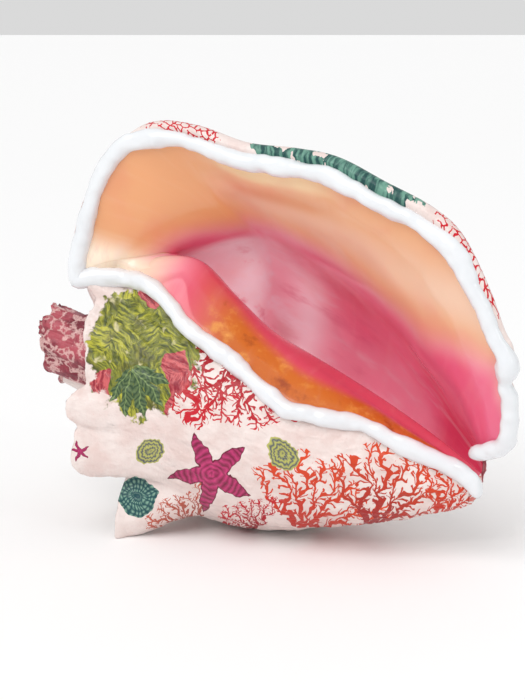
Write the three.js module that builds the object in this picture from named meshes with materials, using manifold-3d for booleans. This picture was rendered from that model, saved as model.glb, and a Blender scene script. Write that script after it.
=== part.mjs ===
// A conch shell, lying with its mouth to the front, and the bead laid round its mouth.
// Millimetres, +Z up, X along the shell, the mouth faces -Y. The shell stands on z = 0.
import * as THREE from "three";
import { mergeVertices } from "three/addons/utils/BufferGeometryUtils.js";
import Module from "manifold-3d";

// How the shell lies: its axis runs from the apex to the siphon end
const LENGTH = 230.4;
const AXIS_YAW = 25.2;
const AXIS_DIP = 13.7;
const APEX_HEIGHT = 89.1;

// Growth of the spiral, angles in degrees round the axis: 0 up, 90 front, 180 down, 270 back
const GROWTH_ALONG = 1.6;
const GROWTH_OUT = 2.1;
const SPIRE_GROWTH_ALONG = 6;
const SPIRE_GROWTH_OUT = 3.7;
const SPIRE_UP_TO = -40;
const SPIRE_SHIFT = 3;
const LIP_ANGLE = 376;
const SUTURE_ALONG = 72;
const SUTURE_OUT = 84;
const SHOULDER_DROP = 27;
const LEG_DROP = { by: 10, angle: 150, width: 25 };
const APEX_ANGLE = -690;
const DEEP_ANGLE = 230;
const BORDER_ANGLE = 58;
const ANGLE_STEP = 8;

// Walls, bead and resting flats
const WALL = 4.5;
const LIP_EXTRA = 3;
const FLANGE_WALL = 4.5;
const BEAD_RADIUS = 3.9;
const BEAD_LIFT = 1.4;
const BEAD_GAP = 0.35;

// Spines on the shoulder of the last whorl: angle, height, half width in degrees, lean to the apex,
// and how soon they die out down the body
const SPINES = [
  [34, 8, 9, 0.9, 5],
  [62, 2, 12, 0.5, 5],
  [105, 9, 12, 0.8, 5],
  [126, 16, 14, 0.55, 5],
  [153, 29, 13, 0, 3.2],
  [206, 25, 17, 0.2, 4],
  [256, 23, 16, 0.4, 4.5],
  [300, 20, 16, 0.4, 5],
];
// The belly, where the shell lies on the table: its swell, and how that runs along the body
const BELLY = { swell: 0.16, angle: 200, width: 50 };
const BELLY_ALONG = [
  [0, 0],
  [0.15, 0.8],
  [0.3, 1],
  [0.45, 0.82],
  [0.6, 0.25],
  [0.75, 0],
  [1, 0],
];
const EARLY_SPINES = { first: 22, step: 40, half: 15, share: 0.15, vary: 0.05, lean: 0.6, last: -32 };
// The ramp from suture to shoulder: row, share of the way along, share of the way out.
// Round the spire it runs along the whorl before and then rises as a collar.
const RAMP_STEP = [
  [0, 0, 0],
  [0.2, 0.5, 0.03],
  [0.4, 0.9, 0.16],
  [0.62, 1, 0.82],
  [0.8, 1, 1],
  [1, 1, 1],
];
const RAMP_PLAIN = [
  [0, 0, 0],
  [0.3, 0.36, 0.4],
  [0.62, 0.93, 0.94],
  [0.8, 1, 1],
  [1, 1, 1],
];
const STEP_FADES = { from: 140, over: 90 };

// Middle of the mouth's lip edge: row, then along the axis, up and to the front.
// Rows run 0 to 1 over the ramp and 1 to 2 over the body.
const RIM = [
  [0, 33.5, 38, 27],
  [0.3, 32, 57.5, 27],
  [0.62, 35, 87.5, 25],
  [0.8, 42.5, 102, 23.5],
  [1, 58.5, 110, 21.5],
  [1.08, 74, 111.5, 20.5],
  [1.2, 97.5, 110.5, 20],
  [1.33, 120.5, 114, 20.5],
  [1.46, 141, 115.5, 22.5],
  [1.58, 164, 111.5, 23.5],
  [1.68, 187, 107.5, 23.5],
  [1.76, 201.5, 101, 23.5],
  [1.83, 217, 84.5, 22.5],
  [1.88, 227, 71.5, 21.5],
  [1.915, 233, 65, 20.5],
  [1.945, 235, 53.5, 18],
  [1.97, 238.5, 45.5, 16],
  [1.985, 239.5, 26.5, 10],
  [2, 225, 14, 3.5],
];
// From that line out to the edge of the lip's outer face
const RIM_TO_OUTSIDE = [
  [0, -2, 0, -4],
  [0.3, -5, 1, -5],
  [0.62, -2.5, 1.5, -5],
  [0.8, -1, 3, -5],
  [1, -0.5, 6.5, -5],
  [1.2, 0, 7, -5],
  [1.68, 1, 7, -5],
  [1.83, 2, 4, -4],
  [1.92, 1, 2, -4],
  [2, 0, 0, -3],
];
// Where the lip leaves the spiral: row, angle; its share of the whole, and how flat it ends
const FLARE_FROM = [
  [0, 350],
  [0.3, 346],
  [0.7, 340],
  [1, 336],
  [2, 330],
];
const FLARE_AT = 0.5;
const FLARE_FLAT = 0.3;
// Border of the callus on the front of the body: distance along the body, angle
const CALLUS_BORDER = [
  [0.11, 29],
  [0.17, 33],
  [0.25, 42],
  [0.37, 49],
  [0.45, 57],
  [0.54, 65],
  [0.65, 60],
  [0.72, 53],
  [0.82, 55],
  [0.9, 54],
  [0.97, 52],
];
// The callus border from the mouth's back corner to the body
const CORNER_LINE = [
  [0, 33.5, 38, 27],
  [0.25, 41, 40, 25],
  [0.45, 47.5, 41.5, 23],
  [0.65, 55.5, 43, 21],
  [0.85, 67.5, 42, 23],
  [1, 78, 39, 25],
];
// How far the wall inside the mouth swells over, or shrinks under, the plain spiral
const INNER_SWELL = [
  [0, 0],
  [0.05, 0.28],
  [0.12, 0.48],
  [0.2, 0.56],
  [0.3, 0.32],
  [0.4, 0.08],
  [0.6, -0.1],
  [0.8, -0.22],
  [1, -0.3],
];
const RAMP_ROWS = [0, 0.2, 0.4, 0.52, 0.66, 0.8, 1];
const LIP_RAMP_ROWS = [0, 0.15, 0.3, 0.46, 0.62, 0.72, 0.81, 0.9, 1];
const BODY_ROWS = [
  0, 0.04, 0.08, 0.14, 0.2, 0.27, 0.34, 0.42, 0.5, 0.58, 0.66, 0.74, 0.81, 0.87, 0.91, 0.945,
  0.97, 0.985, 1,
];
const LIP_COLUMNS = [
  0, 0.034, 0.07, 0.11, 0.16, 0.21, 0.26, 0.31, 0.36, 0.41, 0.46, 0.5, 0.56, 0.62, 0.69, 0.77,
  0.85, 0.92, 1,
];

const wasm = await Module();
wasm.setup();

const clamp = (t) => Math.min(1, Math.max(0, t));
const smooth = (t) => clamp(t) ** 2 * (3 - 2 * clamp(t));
const mix = (p, q, t) => p.map((v, k) => v + (q[k] - v) * t);
const plus = (p, q, s = 1) => p.map((v, k) => v + q[k] * s);

// A smooth curve through the rows of a list: each row is a position and its value or values
function curve(t, list) {
  const x = Math.min(list.at(-1)[0], Math.max(list[0][0], t));
  let i = list.findIndex((row, k) => k > 0 && x <= row[0]) - 1;
  i = Math.max(0, i);
  const slope = (k, j) => (list[k + 1][j] - list[k][j]) / (list[k + 1][0] - list[k][0]);
  const tangent = (k, j) => {
    if (k === 0) return slope(0, j);
    if (k === list.length - 1) return slope(k - 1, j);
    return (slope(k - 1, j) + slope(k, j)) / 2;
  };
  const h = list[i + 1][0] - list[i][0];
  const u = (x - list[i][0]) / h;
  const value = (j) =>
    (2 * u ** 3 - 3 * u ** 2 + 1) * list[i][j] +
    (u ** 3 - 2 * u ** 2 + u) * h * tangent(i, j) +
    (3 * u ** 2 - 2 * u ** 3) * list[i + 1][j] +
    (u ** 3 - u ** 2) * h * tangent(i + 1, j);
  const values = list[0].slice(1).map((_, j) => value(j + 1));
  return values.length === 1 ? values[0] : values;
}

// The spiral: the line where the next whorl joins, along the axis and out from it
const turns = (angle) => (angle - LIP_ANGLE) / 360;
const spire = (angle, change) => change ** (Math.min(0, angle - SPIRE_UP_TO) / 360);
const sutureAlong = (angle) => {
  const grown = GROWTH_ALONG ** turns(angle) * spire(angle, SPIRE_GROWTH_ALONG / GROWTH_ALONG);
  const leg = LEG_DROP.by * Math.exp(-(((angle - LEG_DROP.angle) / LEG_DROP.width) ** 2));
  const shift = SPIRE_SHIFT * (1 - smooth((angle + 200) / 220));
  return SUTURE_ALONG * grown + SHOULDER_DROP * smooth((angle - 20) / 160) + leg + shift;
};
const sutureOut = (angle) =>
  SUTURE_OUT * GROWTH_OUT ** turns(angle) * spire(angle, SPIRE_GROWTH_OUT / GROWTH_OUT);
const bodyTaper = (q) => 0.16 + 0.84 * Math.max(0, 1 - q ** 2.1) ** 0.95;

function point(along, out, angle) {
  const f = THREE.MathUtils.degToRad(angle);
  return [along, out * Math.cos(f), out * Math.sin(f)];
}

// Height of the spines at a place on the shoulder, and how far they lean to the apex
function spine(angle, row) {
  const across = (reach) => {
    const r = row <= 1 ? row : 1 + (row - 1) * reach;
    return r < 0.75 ? smooth((r - 0.2) / 0.5) : 1 - smooth((r - 0.8) / 0.9);
  };
  const knob = (d, reach) => Math.max(0, 1 - Math.abs(d) ** 2.4) ** 1.1 * across(reach);
  let height = 0;
  let lean = 0;
  for (const [at, tall, half, tilt, reach] of SPINES) {
    const h = knob((angle - at) / half, reach) * tall;
    height += h;
    lean += h * tilt;
  }
  const e = EARLY_SPINES;
  if (angle < e.last) {
    const k = Math.round((angle - e.first) / e.step);
    const share = e.share + e.vary * Math.sin(2.1 * k);
    const h = knob((angle - e.first - k * e.step) / e.half, 5) * share * sutureOut(angle);
    height += h;
    lean += h * e.lean;
  }
  return [height, lean];
}

// The plain spiral surface: ramp rows from suture to shoulder, then body rows to the siphon end
function natural(angle, row, spines = true) {
  const x1 = sutureAlong(angle);
  const r1 = sutureOut(angle);
  let x = x1;
  let r = r1;
  if (row <= 1) {
    const x0 = sutureAlong(angle - 360);
    const r0 = sutureOut(angle - 360);
    const xs = x1 - 5 * GROWTH_ALONG ** turns(angle);
    const rs = r1 + 0.5 * GROWTH_OUT ** turns(angle);
    const step = 1 - smooth((angle - STEP_FADES.from) / STEP_FADES.over);
    const [fx, fr] = mix(curve(row, RAMP_PLAIN), curve(row, RAMP_STEP), step);
    const past = clamp((row - 0.8) / 0.2);
    x = x0 + fx * (xs - x0) + past * (x1 - xs);
    r = r0 + fr * (rs - r0) + past * (r1 - rs);
  } else {
    const q = row - 1;
    x = x1 + q * (LENGTH - x1);
    const under = Math.exp(-(((angle - BELLY.angle) / BELLY.width) ** 2));
    r = r1 * bodyTaper(q) * (1 + BELLY.swell * under * curve(q, BELLY_ALONG));
  }
  if (spines) {
    const [height, lean] = spine(angle, row);
    const [below, belowLean] = spine(angle - 360, 1);
    const near = 1 - smooth(row / 0.3);
    x -= lean + belowLean * near;
    r += height + below * near;
  }
  return point(x, r, angle);
}

// The wall that the mouth looks onto, part of the whorl before
function innerWall(angle, q) {
  const x1 = sutureAlong(angle);
  const swell = 1 + smooth((BORDER_ANGLE - angle) / 62) * curve(q, INNER_SWELL);
  return point(x1 + q * (LENGTH - x1), sutureOut(angle) * bodyTaper(q) * swell, angle);
}

// The last part of the whorl, opening like a bell: along 0 in the depth, 1 at the lip edge
function lipOutside(along, row, spines = true) {
  const start = curve(row, FLARE_FROM);
  const angle = DEEP_ANGLE - 8 + Math.min(1, along / FLARE_AT) * (start - DEEP_ANGLE + 8);
  const root = natural(start, row, false);
  const edge = plus(curve(row, RIM), curve(row, RIM_TO_OUTSIDE));
  const way = plus(edge, root, -1);
  const reach = Math.hypot(...way);
  const scaled = (v) => new THREE.Vector3(...v).setLength(reach).toArray();
  const ahead = scaled(plus(natural(start + 1, row, false), natural(start - 1, row, false), -1));
  const out = scaled([way[0], way[1], way[2] * FLARE_FLAT]);
  const u = clamp((along - FLARE_AT) / (1 - FLARE_AT));
  let p = natural(angle, row, spines);
  p = plus(p, way, 3 * u ** 2 - 2 * u ** 3);
  p = plus(p, ahead, u ** 3 - 2 * u ** 2 + u);
  return plus(p, out, u ** 3 - u ** 2);
}

function lipNormal(along, row) {
  const d = 0.004;
  const at = (t, r) => lipOutside(clamp(t), Math.min(2, Math.max(0, r)), false);
  const u = plus(at(along + d, row), at(along - d, row), -1);
  const v = plus(at(along, row + d), at(along, row - d), -1);
  return new THREE.Vector3(...u).cross(new THREE.Vector3(...v)).normalize().toArray();
}

const wallAt = (along, row) =>
  (WALL + LIP_EXTRA * along ** 3) * (row > 1.7 ? 1 - (row - 1.7) * 1.8 : 1);

// Closed solids from triangles; vertices at one place are merged
function solid(triangles) {
  const flat = new Float32Array(triangles.flat(2));
  const soup = new THREE.BufferGeometry().setAttribute("position", new THREE.BufferAttribute(flat, 3));
  const merged = mergeVertices(soup, 1e-3);
  const index = merged.index.array;
  const kept = [];
  for (let i = 0; i < index.length; i += 3) {
    const [a, b, c] = [index[i], index[i + 1], index[i + 2]];
    if (a !== b && b !== c && c !== a) kept.push(a, b, c);
  }
  const make = (triVerts) =>
    new wasm.Manifold(
      new wasm.Mesh({ numProp: 3, vertProperties: merged.attributes.position.array, triVerts }),
    );
  const made = make(new Uint32Array(kept));
  if (made.volume() > 0) return made;
  return make(new Uint32Array(kept.reverse()));
}

// Triangles of a sheet of points, columns of rows
function sheet(columns, flip = false) {
  const out = [];
  for (let i = 0; i + 1 < columns.length; i++) {
    for (let j = 0; j + 1 < columns[i].length; j++) {
      const [p, s] = columns[i].slice(j, j + 2);
      const [q, r] = columns[i + 1].slice(j, j + 2);
      out.push(flip ? [p, r, q] : [p, q, r], flip ? [p, s, r] : [p, r, s]);
    }
  }
  return out;
}

// A slab between two sheets with the same number of columns and rows
function slab(top, under) {
  const first = (c) => c[0];
  const last = (c) => c.at(-1);
  return solid([
    ...sheet(top),
    ...sheet(under, true),
    ...sheet([under[0], top[0]]),
    ...sheet([top.at(-1), under.at(-1)]),
    ...sheet([top.map(first), under.map(first)]),
    ...sheet([under.map(last), top.map(last)]),
  ]);
}

// The spire and the body up to where the mouth's hollow ends
function coreSolid(grow) {
  const away = (p) => {
    const r = Math.hypot(p[1], p[2]) || 1;
    return [p[0], p[1] * (1 + grow / r), p[2] * (1 + grow / r)];
  };
  const angles = [];
  for (let t = APEX_ANGLE; t <= DEEP_ANGLE; t += ANGLE_STEP) angles.push(t);
  const perTurn = 360 / ANGLE_STEP;
  const ramp = angles.map((t) => RAMP_ROWS.map((s) => away(natural(t, s))));
  for (let i = perTurn; i < ramp.length; i++) ramp[i][0] = ramp[i - perTurn].at(-1);
  const late = angles.filter((t) => t >= DEEP_ANGLE - 360);
  const onBody = (t, q) => (t <= BORDER_ANGLE && q > 0 ? innerWall(t, q) : natural(t, 1 + q));
  const body = late.map((t) => BODY_ROWS.map((q) => away(onBody(t, q))));
  body.forEach((c, i) => (c[0] = ramp[ramp.length - body.length + i].at(-1)));
  const triangles = [...sheet(ramp), ...sheet(body)];

  // The step between the outside and the wall in the mouth, at the end of the hollow
  const outside = [...ramp.at(-1), ...body.at(-1).slice(1)];
  const inside = body[0].slice(1).reverse();
  const loop = [...outside, ...inside];
  const flat = loop.map((p) => new THREE.Vector2(p[0], Math.hypot(p[1], p[2])));
  for (const f of THREE.ShapeUtils.triangulateShape(flat, [])) triangles.push(f.map((k) => loop[k]));

  // The siphon end and the apex
  const end = [LENGTH + 3 + grow, 0, 0];
  const ring = body.map((c) => c.at(-1));
  ring.push(ring[0]);
  for (let i = 0; i + 1 < ring.length; i++) triangles.push([ring[i], ring[i + 1], end]);
  const start = ramp.slice(0, perTurn + 1).map((c) => c[0]);
  const cap = [...start.reverse(), ...ramp[0].slice(1)];
  const top = [SPIRE_SHIFT, 0, 0];
  for (let i = 0; i + 1 < cap.length; i++) triangles.push([cap[i], cap[i + 1], top]);
  return solid(triangles);
}

// The wall of the last half whorl and the flared lip
function lipSolid(grow) {
  const rows = [...LIP_RAMP_ROWS, ...BODY_ROWS.slice(1).map((q) => 1 + q)];
  const inset = (along) => 0.2 * (1 - smooth((along - 0.034) / 0.04)) + (along === 0 ? 1.5 : 0);
  const place = (along, row, depth) => {
    const spines = depth <= 0;
    const p = lipOutside(along, row, spines);
    return plus(p, lipNormal(along, row), -depth);
  };
  const sink = (p, along) => {
    const r = Math.hypot(p[1], p[2]);
    const s = 1 - (6 * (1 - along ** 4)) / r;
    return [p[0] + 2 * (1 - along ** 4), p[1] * s, p[2] * s];
  };
  const line = (along, depth) => {
    const pts = rows.map((row) => place(along, row, depth(row)));
    return [sink(pts[0], along), ...pts];
  };
  const eased = (pts) =>
    pts.map((p, k) => (k > 1 && k + 1 < pts.length ? mix(p, mix(pts[k - 1], pts[k + 1], 0.5), 0.5) : p));
  const outside = LIP_COLUMNS.map((t) => line(t, () => inset(t) - grow));
  const inside = LIP_COLUMNS.map((t) => eased(eased(line(t, (row) => wallAt(t, row) + grow))));
  // the first row of the inside sinks beside that of the outside, into the whorl before
  inside.forEach((c, i) => (c[0] = plus(outside[i][0], plus(c[1], outside[i][1], -1))));
  if (grow > 0) {
    for (const sheetOf of [outside, inside]) {
      const [before, edge] = sheetOf.slice(-2);
      sheetOf[sheetOf.length - 1] = edge.map((p, k) => {
        const step = new THREE.Vector3(...plus(p, before[k], -1)).setLength(grow).toArray();
        return plus(p, step);
      });
    }
  }
  return slab(outside, inside);
}

// The shelf of callus in the mouth's back corner
function flangeSolid(grow) {
  const steps = [0, 0.1, 0.2, 0.32, 0.45, 0.6, 0.8, 1];
  const across = [0, 0.25, 0.5, 0.75, 1];
  const crease = (t) => {
    const along = 1 - 0.48 * t;
    return plus(lipOutside(along, 0, false), lipNormal(along, 0), -wallAt(along, 0) * 0.6);
  };
  const top = steps.map((t) => {
    const p = plus(crease(t), t === 0 ? [-2 - grow, 3, 1] : [0, 0, 0]);
    const q = plus(curve(t, CORNER_LINE), [t === 0 ? -1.5 - grow : -1.5, 0, 2]);
    const outer = new THREE.Vector3(...plus(q, p, -1)).setLength(grow).toArray();
    const arch = (u) => grow - 2.2 * Math.sin(Math.PI * u);
    return across.map((u) => plus(mix(p, plus(q, outer), u), [0, 1, 0.4], arch(u)));
  });
  const under = top.map((c) => c.map((p) => plus(p, [0.2, -0.85, -0.45], FLANGE_WALL + 2 * grow)));
  return slab(top, under);
}

const yaw = THREE.MathUtils.degToRad(AXIS_YAW);
const dip = THREE.MathUtils.degToRad(AXIS_DIP);
const level = new THREE.Vector3(Math.cos(yaw), -Math.sin(yaw), 0);
const axisDir = level.clone().multiplyScalar(Math.cos(dip)).setZ(-Math.sin(dip));
const upDir = level.clone().multiplyScalar(Math.sin(dip)).setZ(Math.cos(dip));
const frontDir = new THREE.Vector3().crossVectors(axisDir, upDir);
const pose = new THREE.Matrix4().makeBasis(axisDir, upDir, frontDir).setPosition(0, 0, APEX_HEIGHT);

function shellSolid(grow) {
  return coreSolid(grow).add(lipSolid(grow)).add(flangeSolid(grow)).transform(pose.elements);
}

// A block under the table top
function underTable() {
  const box = new THREE.BoxGeometry(900, 900, 200).translate(0, 0, -100).toNonIndexed();
  const p = box.getAttribute("position");
  const triangles = [];
  for (let i = 0; i < p.count; i += 3) {
    triangles.push([0, 1, 2].map((k) => [p.getX(i + k), p.getY(i + k), p.getZ(i + k)]));
  }
  return solid(triangles);
}

// The middle line of the bead, in two runs that meet in the back corner: round the lip edge from the
// siphon end, and along the callus border back to it
function beadLines() {
  const lift = (p) => plus(p, [0, 0, BEAD_LIFT]);
  const lip = RIM.map((row) => lift(row.slice(1))).reverse();
  const callus = [0, 0.25, 0.45, 0.65].map((t) => lift(curve(t, CORNER_LINE)));
  for (const [q, angle] of CALLUS_BORDER) {
    const p = innerWall(angle, q);
    const s = 1 + BEAD_LIFT / Math.hypot(p[1], p[2]);
    callus.push([p[0], p[1] * s, p[2] * s]);
  }
  callus.push(point(LENGTH + 1, 8, 75), point(LENGTH + 3.5, 5.5, 115));
  return [lip, callus.reverse()];
}

// A round run of the bead: it starts tapered at the siphon end and ends full in the corner
function beadRun(points, count) {
  const sides = 8;
  const line = new THREE.CatmullRomCurve3(
    points.map((p) => new THREE.Vector3(...p)),
    false,
    "centripetal",
  );
  const frames = line.computeFrenetFrames(count, false);
  const rings = [];
  for (let i = 0; i <= count; i++) {
    const p = line.getPointAt(i / count).toArray();
    const radius = BEAD_RADIUS * ([0.55, 0.88][i] ?? 1);
    const ring = [];
    for (let k = 0; k <= sides; k++) {
      const f = (2 * Math.PI * (k % sides)) / sides;
      const away = plus(
        frames.normals[i].clone().multiplyScalar(Math.cos(f)).toArray(),
        frames.binormals[i].clone().multiplyScalar(Math.sin(f)).toArray(),
      );
      ring.push(plus(p, away, radius));
    }
    rings.push(ring);
  }
  const triangles = sheet(rings);
  const close = (ring, shift, flip) => {
    const tip = plus(ring.slice(0, sides).reduce((s, p) => plus(s, p, 1 / sides), [0, 0, 0]), shift);
    for (let k = 0; k < sides; k++) {
      triangles.push(flip ? [ring[k + 1], ring[k], tip] : [ring[k], ring[k + 1], tip]);
    }
  };
  const ahead = frames.tangents;
  close(rings[0], ahead[0].clone().multiplyScalar(-1.2).toArray(), false);
  close(rings[count], ahead[count].clone().multiplyScalar(3).toArray(), true);
  return solid(triangles);
}

function beadSolid() {
  const [lip, callus] = beadLines();
  return beadRun(lip, 66).add(beadRun(callus, 42)).transform(pose.elements);
}

const largest = (made) => made.decompose().sort((a, b) => b.volume() - a.volume())[0];
const shell = largest(shellSolid(0).subtract(underTable()));
const room = [
  shellSolid(BEAD_GAP),
  shell,
  shell.translate([-0.25, -0.25, 0]),
  shell.translate([0.25, 0, 0.25]),
];
const bead = largest(room.reduce((rest, part) => rest.subtract(part), beadSolid()));

// The middle of the whole object's footprint is the origin
const boxes = [shell.boundingBox(), bead.boundingBox()];
const middle = [0, 1].map(
  (k) => (Math.min(...boxes.map((b) => b.min[k])) + Math.max(...boxes.map((b) => b.max[k]))) / 2,
);

function mesh(name, made, look) {
  const data = made.getMesh();
  const geometry = new THREE.BufferGeometry();
  geometry.setAttribute("position", new THREE.BufferAttribute(new Float32Array(data.vertProperties), 3));
  geometry.setIndex(new THREE.BufferAttribute(new Uint32Array(data.triVerts), 1));
  geometry.computeVertexNormals();
  const made3d = new THREE.Mesh(geometry, new THREE.MeshStandardMaterial(look));
  made3d.name = name;
  made3d.position.set(-middle[0], -middle[1], 0);
  return made3d;
}

const conch = new THREE.Group();
conch.add(mesh("shell", shell, { color: 0xefd8cf, roughness: 0.35, metalness: 0 }));
conch.add(mesh("rim_bead", bead, { color: 0xf2f3f6, roughness: 0.15, metalness: 0 }));

export default conch;
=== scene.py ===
import math

import bmesh
import bpy
import numpy as np
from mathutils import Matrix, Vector

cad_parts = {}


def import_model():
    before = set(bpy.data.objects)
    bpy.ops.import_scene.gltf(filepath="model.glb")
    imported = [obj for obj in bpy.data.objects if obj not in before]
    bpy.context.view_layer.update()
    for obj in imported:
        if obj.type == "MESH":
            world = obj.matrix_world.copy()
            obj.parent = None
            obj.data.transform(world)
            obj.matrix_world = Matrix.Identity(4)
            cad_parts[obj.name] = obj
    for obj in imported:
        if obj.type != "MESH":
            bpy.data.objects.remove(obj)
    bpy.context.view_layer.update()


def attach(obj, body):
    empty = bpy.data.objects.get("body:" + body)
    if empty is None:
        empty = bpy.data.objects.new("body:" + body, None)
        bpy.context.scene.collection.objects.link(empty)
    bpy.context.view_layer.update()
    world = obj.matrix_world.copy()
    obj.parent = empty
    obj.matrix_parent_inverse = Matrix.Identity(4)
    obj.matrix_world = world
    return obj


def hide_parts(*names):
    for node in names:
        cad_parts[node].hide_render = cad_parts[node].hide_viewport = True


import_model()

# Shape of the shell, in millimetres and degrees: the same spiral as the CAD part. Points are (along the axis
# from the apex, up, to the front), angles run from up over the front, and rows run from the suture (0) over
# the shoulder (1) to the siphon end (2).
LENGTH = 230.4
YAW, DIP = math.radians(25.2), math.radians(13.7)
APEX = np.array((-108.805, 38.667, 89.1))
LIP_ANGLE, DEEP = 376.0, 230.0
LIP_START = DEEP - 8
SPIRE_START, SPIRE_END = -1010, 22
SHOULDER_ALONG, ALONG_GROWTH, EARLY_ALONG = 72, 1.6, 6
SHOULDER_OUT, OUT_GROWTH, EARLY_OUT = 84, 2.1, 3.7
FLARE_AT, FLARE_FLAT = .5, .3
WALL, LIP_EXTRA = 4.5, 3.0
WALL_START = -130.0
BEAD_RADIUS, BEAD_LIFT = 3.9, 1.4
# knobs of the spire: first angle, step, half width, lean to the apex, how soon one ends down the body
KNOB_FROM, KNOB_STEP, KNOB_HALF, KNOB_LEAN, KNOB_ENDS = 22, 40, 15, .6, 5
# spines: angle, then height, half width, lean and end as above
SPINES = [(34, 8, 9, .9, 5), (62, 2, 12, .5, 5), (105, 9, 12, .8, 5), (126, 16, 14, .55, 5),
          (153, 29, 13, 0, 3.2), (206, 25, 17, .2, 4), (256, 23, 16, .4, 4.5), (300, 20, 16, .4, 5)]
# row, then a point of the lip's edge, and how far its outside stands off that
RIM = [(0, 33.5, 38, 27), (.3, 32, 57.5, 27), (.62, 35, 87.5, 25), (.8, 42.5, 102, 23.5),
       (1, 58.5, 110, 21.5), (1.08, 74, 111.5, 20.5), (1.2, 97.5, 110.5, 20), (1.33, 120.5, 114, 20.5),
       (1.46, 141, 115.5, 22.5), (1.58, 164, 111.5, 23.5), (1.68, 187, 107.5, 23.5),
       (1.76, 201.5, 101, 23.5), (1.83, 217, 84.5, 22.5), (1.88, 227, 71.5, 21.5), (1.915, 233, 65, 20.5),
       (1.945, 235, 53.5, 18), (1.97, 238.5, 45.5, 16), (1.985, 239.5, 26.5, 10), (2, 225, 14, 3.5)]
RIM_OUT = [(0, -2, 0, -4), (.3, -5, 1, -5), (.62, -2.5, 1.5, -5), (.8, -1, 3, -5), (1, -.5, 6.5, -5),
           (1.2, 0, 7, -5), (1.68, 1, 7, -5), (1.83, 2, 4, -4), (1.92, 1, 2, -4), (2, 0, 0, -3)]
# row, then the angle where the lip leaves the spiral
FLARE_FROM = [(0, 350), (.3, 346), (.7, 340), (1, 336), (2, 330)]
# share of the ramp, then share of its length and of its rise
RAMP_PLAIN = [(0, 0, 0), (.3, .36, .4), (.62, .93, .94), (.8, 1, 1), (1, 1, 1)]
RAMP_STEP = [(0, 0, 0), (.2, .5, .03), (.4, .9, .16), (.62, 1, .82), (.8, 1, 1), (1, 1, 1)]
# share down the body, then the angle where the callus ends
BORDER = [(0, 22), (.11, 29), (.17, 33), (.25, 42), (.37, 49), (.45, 57), (.54, 65), (.65, 60), (.72, 53),
          (.82, 55), (.9, 54), (.97, 52), (1, 56)]
# the bead's way through the mouth's back corner
CORNER = [(0, 33.5, 38, 27), (.25, 41, 40, 25), (.45, 47.5, 41.5, 23), (.65, 55.5, 43, 21),
          (.85, 67.5, 42, 23), (1, 78, 39, 25)]
# share down the body, then the swelling of the inner wall and of the belly
SWELL = [(0, 0), (.05, .28), (.12, .48), (.2, .56), (.3, .32), (.4, .08), (.6, -.1), (.8, -.22), (1, -.3)]
BELLY = [(0, 0), (.15, .8), (.3, 1), (.45, .82), (.6, .25), (.75, 0), (1, 0)]
AX = np.array((math.cos(DIP) * math.cos(YAW), -math.cos(DIP) * math.sin(YAW), -math.sin(DIP)))
UP = np.array((math.sin(DIP) * math.cos(YAW), -math.sin(DIP) * math.sin(YAW), math.cos(DIP)))
FRONT = np.cross(AX, UP)


def smooth(t):
    t = np.clip(t, 0, 1)
    return t * t * (3 - 2 * t)


def hump(x, at, width):
    return np.exp(-(((x - at) / width) ** 2))


def knob(d):
    """A blunt knob: 1 in its middle, 0 from a distance of 1."""
    return np.maximum(0, 1 - np.abs(d) ** 2.4) ** 1.1


def curve(t, table):
    """A smooth line through rows of (place, value, ...)."""
    k = np.array([row[0] for row in table], float)
    v = np.array([row[1:] for row in table], float)
    t = np.clip(np.asarray(t, float), k[0], k[-1])
    d = np.diff(v, axis=0) / np.diff(k)[:, None]
    m = np.vstack([d[:1], (d[1:] + d[:-1]) / 2, d[-1:]])
    i = np.clip(np.searchsorted(k, t, side="right") - 1, 0, len(k) - 2)
    h = (k[i + 1] - k[i])[..., None]
    u = (t - k[i])[..., None] / h
    out = (2 * u**3 - 3 * u**2 + 1) * v[i] + (u**3 - 2 * u**2 + u) * h * m[i]
    out = out + (3 * u**2 - 2 * u**3) * v[i + 1] + (u**3 - u**2) * h * m[i + 1]
    return out[..., 0] if v.shape[1] == 1 else out


def world(p):
    """From the shell's own axes to the shared frame, with a flat where it lies."""
    p = APEX + p[..., :1] * AX + p[..., 1:2] * UP + p[..., 2:3] * FRONT
    p[..., 2] = np.maximum(p[..., 2], 0)
    return p


def point(along, out, angle):
    f = np.radians(angle)
    return np.stack(np.broadcast_arrays(along, out * np.cos(f), out * np.sin(f)), -1)


def turns(angle):
    """Whole turns from the lip's edge."""
    return (angle - LIP_ANGLE) / 360


def early(angle, change):
    """The first whorls grow faster, by this change of the growth in a turn."""
    return change ** (np.minimum(0, angle + 40) / 360)


def shoulder_along(angle):
    drop = 27 * smooth((angle - 20) / 160) + 10 * hump(angle, 150, 25)
    drop = drop + 3 - 3 * smooth((angle + 200) / 220)
    return SHOULDER_ALONG * ALONG_GROWTH ** turns(angle) * early(angle, EARLY_ALONG / ALONG_GROWTH) + drop


def shoulder_out(angle):
    return SHOULDER_OUT * OUT_GROWTH ** turns(angle) * early(angle, EARLY_OUT / OUT_GROWTH)


def taper(q):
    """The body's width, from the shoulder down to the siphon end."""
    return .16 + .84 * np.maximum(0, 1 - q**2.1) ** .95


def spines(angle, row):
    """Height of the spines and their lean to the apex."""
    def across(ends):
        r = np.where(row <= 1, row, 1 + (row - 1) * ends)
        return np.where(r < .75, smooth((r - .2) / .5), 1 - smooth((r - .8) / .9))
    height = lean = 0
    for at, tall, half, tilt, ends in SPINES:
        h = knob((angle - at) / half) * across(ends) * tall
        height, lean = height + h, lean + h * tilt
    k = np.round((angle - KNOB_FROM) / KNOB_STEP)
    size = (.15 + .05 * np.sin(2.1 * k)) * shoulder_out(angle) * (angle < -32)
    h = knob((angle - KNOB_FROM - k * KNOB_STEP) / KNOB_HALF) * across(KNOB_ENDS) * size
    return height + h, lean + h * KNOB_LEAN


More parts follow.
